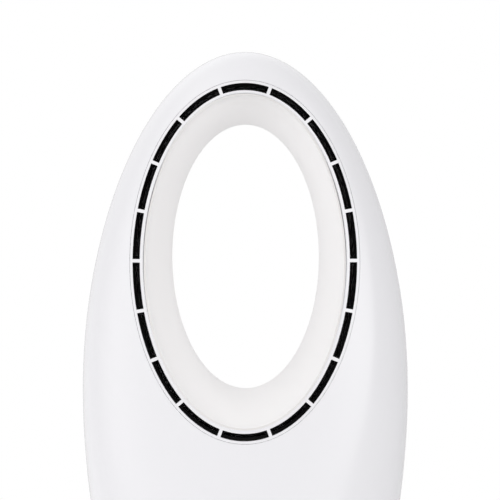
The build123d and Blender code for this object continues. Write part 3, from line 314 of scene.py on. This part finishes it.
def circuit_board(name):
    """Green solder mask over a raised grid of tracks."""
    made = Shader(name, (0.02, 0.12, 0.05), 0.35, coat=0.4)
    tracks = made.node("ShaderNodeTexBrick", Scale=TRACKS_SCALE, Mortar_Size=0.06, Mortar_Smooth=0.3)
    made.link(made.place, tracks.inputs["Vector"])
    made.colours(tracks.outputs["Fac"], (0.012, 0.1, 0.04), (0.05, 0.24, 0.1), 0.1, 0.9)
    made.relief(tracks.outputs["Fac"], 0.00003)
    return made.material


def winding(name):
    """Enamelled copper wire in close turns, with painted shade in the grooves between them."""
    made = Shader(name, (0.55, 0.22, 0.09), 0.3, metallic=0.9, coat=0.5)
    turns = made.layers(WIRE)
    # Painted shade: the grooves between the turns are coloured darker than the wire's tops
    made.colours(turns, (0.25, 0.08, 0.03), (0.68, 0.3, 0.13), 0.1, 0.8)
    made.relief(turns, 0.0002)
    return made.material


def laminations(name):
    """A stack of thin steel sheets."""
    made = Shader(name, (0.4, 0.4, 0.42), 0.45, metallic=1.0)
    sheets = made.layers(STEEL_SHEET)
    made.colours(sheets, (0.16, 0.16, 0.17), (0.45, 0.45, 0.47), 0.1, 0.6)
    made.relief(sheets, 0.0001)
    return made.material


def smoked_lens(name):
    """Polished black acrylic."""
    made = Shader(name, (0.012, 0.012, 0.013), 0.06, coat=1.0, coat_roughness=0.02)
    made.colours(made.noise(0.01, 4.0), (0.008, 0.008, 0.009), (0.016, 0.016, 0.018))
    made.roughness(made.noise(0.004, 6.0), 0.04, 0.1)
    return made.material


def key_ink(name):
    """Grey ink, a little uneven."""
    made = Shader(name, (0.2, 0.205, 0.215), 0.5)
    made.colours(made.noise(0.0006, 4.0), (0.17, 0.175, 0.185), (0.24, 0.245, 0.255))
    made.relief(made.noise(0.0002, 2.0), 0.000004)
    return made.material


def lit_segment(name):
    """A pale blue segment that glows."""
    colour = (0.62, 0.86, 1.0)
    made = Shader(name, colour, 0.4)
    made.colours(made.noise(0.0008, 2.0), tuple(0.8 * part for part in colour), colour)
    made.base.inputs["Emission Color"].default_value = (*colour, 1.0)
    made.base.inputs["Emission Strength"].default_value = 1.6
    return made.material


def unlit_segment(name):
    """A dark segment that hardly shows on the lens."""
    made = Shader(name, (0.035, 0.037, 0.04), 0.25)
    made.colours(made.noise(0.0005, 3.0), (0.03, 0.032, 0.035), (0.045, 0.047, 0.05))
    return made.material


def pale_floor(name):
    """The studio's plain floor."""
    made = Shader(name, (0.93, 0.93, 0.93), 0.6)
    made.colours(made.noise(0.2, 3.0), (0.92, 0.92, 0.92), (0.94, 0.94, 0.94))
    return made.material


material_of = {
    "casing_plastic": gloss_plastic("casing_white", WHITE, WHITE_SHADE),
    "duct_plastic": duct_plastic("duct_white"),
    "grille_plastic": gloss_plastic("grille_white", WHITE, WHITE_SHADE, (0.3, 0.4), 0.1),
    "key_plastic": gloss_plastic("key_white", KEY_WHITE, KEY_SHADE, (0.3, 0.38), 0.1),
    "black_plastic": channel_plastic("channel_black"),
    "smoked_lens": smoked_lens("smoked_acrylic"),
    "circuit_board": circuit_board("board_green"),
    "component_plastic": matt_plastic("component_black", (0.04, 0.04, 0.043), (0.02, 0.02, 0.022)),
    "zinc_steel": steel("zinc_plate", (0.7, 0.7, 0.68), (0.5, 0.51, 0.52)),
    "filter_foam": foam("filter_foam"),
    "inner_plastic": matt_plastic("inner_grey", (0.32, 0.33, 0.34), (0.27, 0.28, 0.29)),
    "rubber": rubber("soft_rubber"),
    "motor_can": steel("motor_can", (0.55, 0.56, 0.57), (0.42, 0.43, 0.45), (0.3, 0.45)),
    "laminated_steel": laminations("laminated_steel"),
    "magnet": steel(
        "sintered_magnet", (0.14, 0.14, 0.15), (0.08, 0.08, 0.085), (0.5, 0.65), EVEN, 0.0008
    ),
    "copper_winding": winding("copper_winding"),
    "bearing_steel": steel(
        "ground_steel", (0.75, 0.75, 0.77), (0.6, 0.6, 0.62), (0.08, 0.18), EVEN, 0.001
    ),
    "impeller_plastic": matt_plastic("impeller_black", (0.07, 0.075, 0.08), (0.04, 0.043, 0.046)),
    "acetal": matt_plastic("acetal", (0.8, 0.79, 0.75), (0.72, 0.71, 0.67), (0.35, 0.5)),
    "ballast_iron": steel(
        "ballast_iron", (0.22, 0.22, 0.23), (0.12, 0.12, 0.125), (0.5, 0.7), EVEN, 0.003
    ),
    "inlet_plastic": matt_plastic("inlet_black", (0.03, 0.03, 0.03), (0.015, 0.015, 0.015)),
    "pin_brass": steel("pin_brass", (0.8, 0.68, 0.4), (0.68, 0.55, 0.3), (0.15, 0.3), (1, 8, 1), 0.001),
}


def dress_nodes():
    """Gives every CAD node its slot's material."""
    for part in frame["record"]["subparts"]:
        mesh = nodes[part["node"]].data
        mesh.materials.clear()
        mesh.materials.append(material_of[part["material_slot"]])


dress_nodes()

# ---------------------------------------------------------------- new pieces


def front_of(node):
    """A function that gives the first point of a node behind a place (across, up) in front of it."""
    mesh = nodes[node].data
    surface = BVHTree.FromPolygons([v.co for v in mesh.vertices], [p.vertices for p in mesh.polygons])
    return lambda x, z: surface.ray_cast(Vector((x, RAY_START, z)), Vector((0, 1, 0)))[0]


def new_object(name, shape, material):
    """Turns a finished bmesh into an object in the scene."""
    mesh = bpy.data.meshes.new(name)
    shape.to_mesh(mesh)
    shape.free()
    mesh.materials.append(material)
    made = bpy.data.objects.new(name, mesh)
    scene.collection.objects.link(made)
    return made


def seam_ledge():
    """The pale step just under the inner seam, between the outlet ring and the duct."""
    ring_face = front_of("outlet_ring")
    shape = bmesh.new()
    rings = []
    for step in range(LEDGE_STEPS):
        turn = 2 * math.pi * step / LEDGE_STEPS
        across, up = math.cos(turn), math.sin(turn)
        edge = Vector((RING_HALF_WIDTH * across, 0, RING_Z + RING_HALF_HEIGHT * up))
        out = Vector((RING_HALF_HEIGHT * across, 0, RING_HALF_WIDTH * up)).normalized()
        met = edge + out * RING_INSET
        front = ring_face(met.x, met.z).y + LEDGE_SINK + CROWN_SINK * max(0.0, up) ** CROWN_POWER
        back = front + LEDGE_DEPTH
        near, far = edge - out * LEDGE_NEAR, edge - out * LEDGE_FAR
        corners = ((near, front), (far, front), (far, back), (near, back))
        rings.append([shape.verts.new((place.x, y, place.z)) for place, y in corners])
    for ring, after in zip(rings, rings[1:] + rings[:1]):
        for i, corner in enumerate(ring):
            j = (i + 1) % len(ring)
            shape.faces.new((corner, ring[j], after[j], after[i]))
    bmesh.ops.recalc_face_normals(shape, faces=shape.faces)
    made = new_object("seam_ledge", shape, material_of["casing_plastic"])
    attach(made, "head")


def printed(name, faces, node, middle, body, material):
    """A thin layer of ink on a node's front: every corner is cast back onto the surface."""
    surface = front_of(node)
    shape = bmesh.new()
    for face in faces:
        places = [surface(middle[0] + x, middle[1] + z) for x, z in face]
        front = [shape.verts.new(place + Vector((0, -INK_LIFT, 0))) for place in places]
        back = [shape.verts.new(place + Vector((0, INK_SINK, 0))) for place in places]
        shape.faces.new(front)
        shape.faces.new(list(reversed(back)))
        for i in range(len(front)):
            after = (i + 1) % len(front)
            shape.faces.new((front[after], front[i], back[i], back[after]))
    bmesh.ops.recalc_face_normals(shape, faces=shape.faces)
    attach(new_object(name, shape, material), body)


def arc(radius, start, end, middle=(0.0, 0.0), step=8):
    """Points on an arc between two angles in degrees."""
    count = max(2, round(abs(end - start) / step))
    angles = [math.radians(start + (end - start) * i / count) for i in range(count + 1)]
    return [(middle[0] + radius * math.cos(a), middle[1] + radius * math.sin(a)) for a in angles]


def stroke(points, width):
    """Four-sided faces along a path, as (across, up) corners."""
    rails = []
    for i, (x, z) in enumerate(points):
        before, after = points[max(i - 1, 0)], points[min(i + 1, len(points) - 1)]
        along = Vector((after[0] - before[0], after[1] - before[1])).normalized()
        out = Vector((-along.y, along.x)) * width / 2
        rails.append(((x + out.x, z + out.y), (x - out.x, z - out.y)))
    return [(a[0], a[1], b[1], b[0]) for a, b in zip(rails, rails[1:])]


def segment(middle, length, width, upright):
    """A six-sided bar with pointed ends."""
    half, thick = length / 2, width / 2
    inner = half - thick
    corners = ((-half, 0), (-inner, -thick), (inner, -thick), (half, 0), (inner, thick), (-inner, thick))
    if upright:
        corners = tuple((-z, x) for x, z in corners)
    return tuple((middle[0] + x, middle[1] + z) for x, z in corners)


def key_symbols():
    """A power sign, minus and plus, a two-headed arc and a clock, each as faces about its middle."""
    minus = [(-SIGN_REACH, 0), (0, 0), (SIGN_REACH, 0)]
    # The plus's level bar stops at its upright one, so that no two faces lie in the same place
    left_arm = [(-SIGN_REACH, 0), (-LINE / 2, 0)]
    right_arm = [(LINE / 2, 0), (SIGN_REACH, 0)]
    upright_arm = [(0, -SIGN_REACH), (0, 0), (0, SIGN_REACH)]
    left_arrow = ((-0.0031, 0.0009), (-0.0026, -0.0009), (-0.0011, 0.0001))
    right_arrow = ((0.0031, 0.0009), (0.0011, 0.0001), (0.0026, -0.0009))
    return {
        "power": stroke(arc(POWER_RING, 125, 415), POWER_LINE)
        + stroke([(0, 0.0012), (0, 0.003), (0, 0.0048)], POWER_LINE),
        "speed_down": stroke(minus, LINE),
        "speed_up": stroke(left_arm, LINE) + stroke(right_arm, LINE) + stroke(upright_arm, LINE),
        "swing": stroke(arc(SWING_ARC, 35, 145, (0, -SWING_ARC / 2)), LINE)
        + [left_arrow, right_arrow]
        + stroke([(0, -0.0018), (0, -0.0006)], LINE),
        "timer": stroke(arc(CLOCK_RING, 90, 450), CLOCK_LINE)
        + stroke([(0, -0.0002), (0, 0.0014)], HAND_LINE)
        + stroke([(0.0002, 0), (0.001, 0)], HAND_LINE),
    }


def print_keys():
    """Each key's symbol rides on its key."""
    ink = key_ink("key_ink")
    for name, faces in key_symbols().items():
        middle = (0, POWER_Z) if name == "power" else (KEY_X[name], KEY_Z)
        node = f"{name}_button"
        printed(f"{name}_symbol", faces, node, middle, node, ink)


def digit():
    """The seven parts of a digit that reads 5, as (face, lit)."""
    tall, wide = DIGIT_HALF, DIGIT_WIDTH / 2
    bars = {
        "top": ((0, tall), False, True),
        "upper left": ((-wide, tall / 2), True, True),
        "upper right": ((wide, tall / 2), True, False),
        "middle": ((0, 0), False, True),
        "lower left": ((-wide, -tall / 2), True, False),
        "lower right": ((wide, -tall / 2), True, True),
        "bottom": ((0, -tall), False, True),
    }
    for middle, upright, lit in bars.values():
        length = (DIGIT_HALF if upright else DIGIT_WIDTH) - SEGMENT_GAP
        yield segment(middle, length, SEGMENT_WIDTH, upright), lit


def air_waves():
    """Three waves on the display's left, for the air."""
    faces = []
    for row in (-1, 0, 1):
        turns = [math.radians(WAVE_TURN * i) for i in range(WAVE_POINTS)]
        heights = [WAVE_SPACING * row + WAVE_HEIGHT * math.sin(turn) for turn in turns]
        faces += stroke([(WAVE_START + WAVE_STEP * i, height) for i, height in enumerate(heights)], WAVE_LINE)
    return faces


def speed_meter():
    """Rising bars on the display's right, for the speed, as (face, lit)."""
    for step in range(METER_BARS):
        left, height = METER_START + METER_PITCH * step, METER_LOW + METER_RISE * step
        right, top = left + METER_WIDTH, METER_FOOT + height
        yield ((left, METER_FOOT), (right, METER_FOOT), (right, top), (left, top)), step < METER_LIT


def print_display():
    """The display's lit and unlit segments, on its lens."""
    shown = [*digit(), *((face, True) for face in air_waves()), *speed_meter()]
    middle = (0, DISPLAY_Z)
    lit = [face for face, on in shown if on]
    unlit = [face for face, on in shown if not on]
    printed("display_lit_bars", lit, "display_lens", middle, "head", lit_segment("display_lit"))
    printed("display_unlit_bars", unlit, "display_lens", middle, "head", unlit_segment("display_unlit"))


seam_ledge()
print_keys()
print_display()

# ---------------------------------------------------------------- stage, lights and camera


def lay_floor():
    """A flat disc just under the feet."""
    shape = bmesh.new()
    bmesh.ops.create_circle(shape, cap_ends=True, radius=FLOOR_RADIUS, segments=FLOOR_SIDES)
    floor = new_object("floor", shape, pale_floor("floor_pale"))
    floor.location = (0, 0, -FLOOR_DROP)


lay_floor()

# Soft pools of light on the studio's walls: azimuth (0 is behind the camera), elevation, sharpness, strength
POOLS = (
    (-60, 0, 10.0, 1.18),
    (-45, 40, 8.0, 0.83),
    (-120, -30, 8.0, 0.8),
    (180, 40, 8.0, 0.54),
    (-135, 40, 8.0, 0.6),
    (0, -30, 8.0, 0.42),
    (-120, 65, 8.0, 0.27),
    (180, -30, 8.0, 0.24),
    (135, 40, 8.0, 0.18),
    (150, 0, 10.0, 0.1),
    (-150, 0, 10.0, 0.1),
)
WALL_LIGHT = 0.48
LIGHT_COLOUR = (1.0, 1.0, 1.0, 1.0)
# A panel on the right, whose far edge draws the soft line down the casing's side
PANEL = (46, 12, 12.0, 2.5)
PANEL_EDGE = (0, 45)  # the edge lies on a cone about this direction
PANEL_HALF_ANGLE = 66.0
PANEL_BLUR = 0.03


def toward(azimuth, elevation):
    """The direction to a place on the studio's walls."""
    around, up = math.radians(azimuth), math.radians(elevation)
    return Vector((math.sin(around) * math.cos(up), -math.cos(around) * math.cos(up), math.sin(up)))


class Studio(Wiring):
    """White to the camera; to the object, dim walls with pools of light on them."""

    def __init__(self):
        self.world = bpy.data.worlds.new("studio")
        super().__init__(self.world)
        self.direction = self.node("ShaderNodeTexCoord").outputs["Generated"]

    def nearness(self, azimuth, elevation):
        """How nearly the direction looked in is the one given: 1 along it, 0 square to it."""
        made = self.node("ShaderNodeVectorMath", operation="DOT_PRODUCT")
        made.inputs[1].default_value = toward(azimuth, elevation)
        self.link(self.direction, made.inputs[0])
        return made.outputs["Value"]

    def pool(self, azimuth, elevation, sharpness, strength):
        """A round pool of light that fades from its middle."""
        in_front = self.maths("MAXIMUM", self.nearness(azimuth, elevation), 0.0)
        return self.maths("MULTIPLY", self.maths("POWER", in_front, sharpness), strength)

    def panel(self):
        """A pool that stops along one edge."""
        middle = math.cos(math.radians(PANEL_HALF_ANGLE))
        low, high = middle - PANEL_BLUR / 2, middle + PANEL_BLUR / 2
        edge = self.node("ShaderNodeMapRange", From_Min=low, From_Max=high)
        self.link(self.nearness(*PANEL_EDGE), edge.inputs["Value"])
        return self.maths("MULTIPLY", self.pool(*PANEL), edge.outputs["Result"])

    def light(self):
        """Joins the walls' light and the camera's white backdrop, and puts them round the scene."""
        total = self.maths("ADD", self.panel(), WALL_LIGHT)
        for pool in POOLS:
            total = self.maths("ADD", total, self.pool(*pool))
        walls = self.tree.nodes["Background"]
        walls.inputs["Color"].default_value = LIGHT_COLOUR
        self.link(total, walls.inputs["Strength"])
        backdrop = self.node("ShaderNodeBackground", Color=LIGHT_COLOUR, Strength=1.0)
        seen = self.node("ShaderNodeLightPath").outputs["Is Camera Ray"]
        mix = self.node("ShaderNodeMixShader")
        self.link(seen, mix.inputs["Fac"])
        self.link(walls.outputs["Background"], mix.inputs[1])
        self.link(backdrop.outputs["Background"], mix.inputs[2])
        self.link(mix.outputs["Shader"], self.tree.nodes["World Output"].inputs["Surface"])
        scene.world = self.world


Studio().light()


def place_camera():
    """The photograph's view, from a little above and to the right of its middle."""
    data = bpy.data.cameras.new("camera")
    data.sensor_width = SENSOR
    data.lens = SENSOR * CAMERA_DISTANCE / (IMAGE_SIDE * PIXEL_AT_MIDDLE)
    data.clip_start = CAMERA_NEAR
    camera = bpy.data.objects.new("camera", data)
    aim = Vector((CENTRE_X, 0, CENTRE_Z))
    camera.location = (CENTRE_X + CAMERA_SIDE, -CAMERA_DISTANCE, CENTRE_Z + CAMERA_RISE)
    camera.rotation_euler = (aim - camera.location).to_track_quat("-Z", "Y").to_euler()
    scene.collection.objects.link(camera)
    scene.camera = camera


place_camera()
scene.view_settings.view_transform = "Standard"
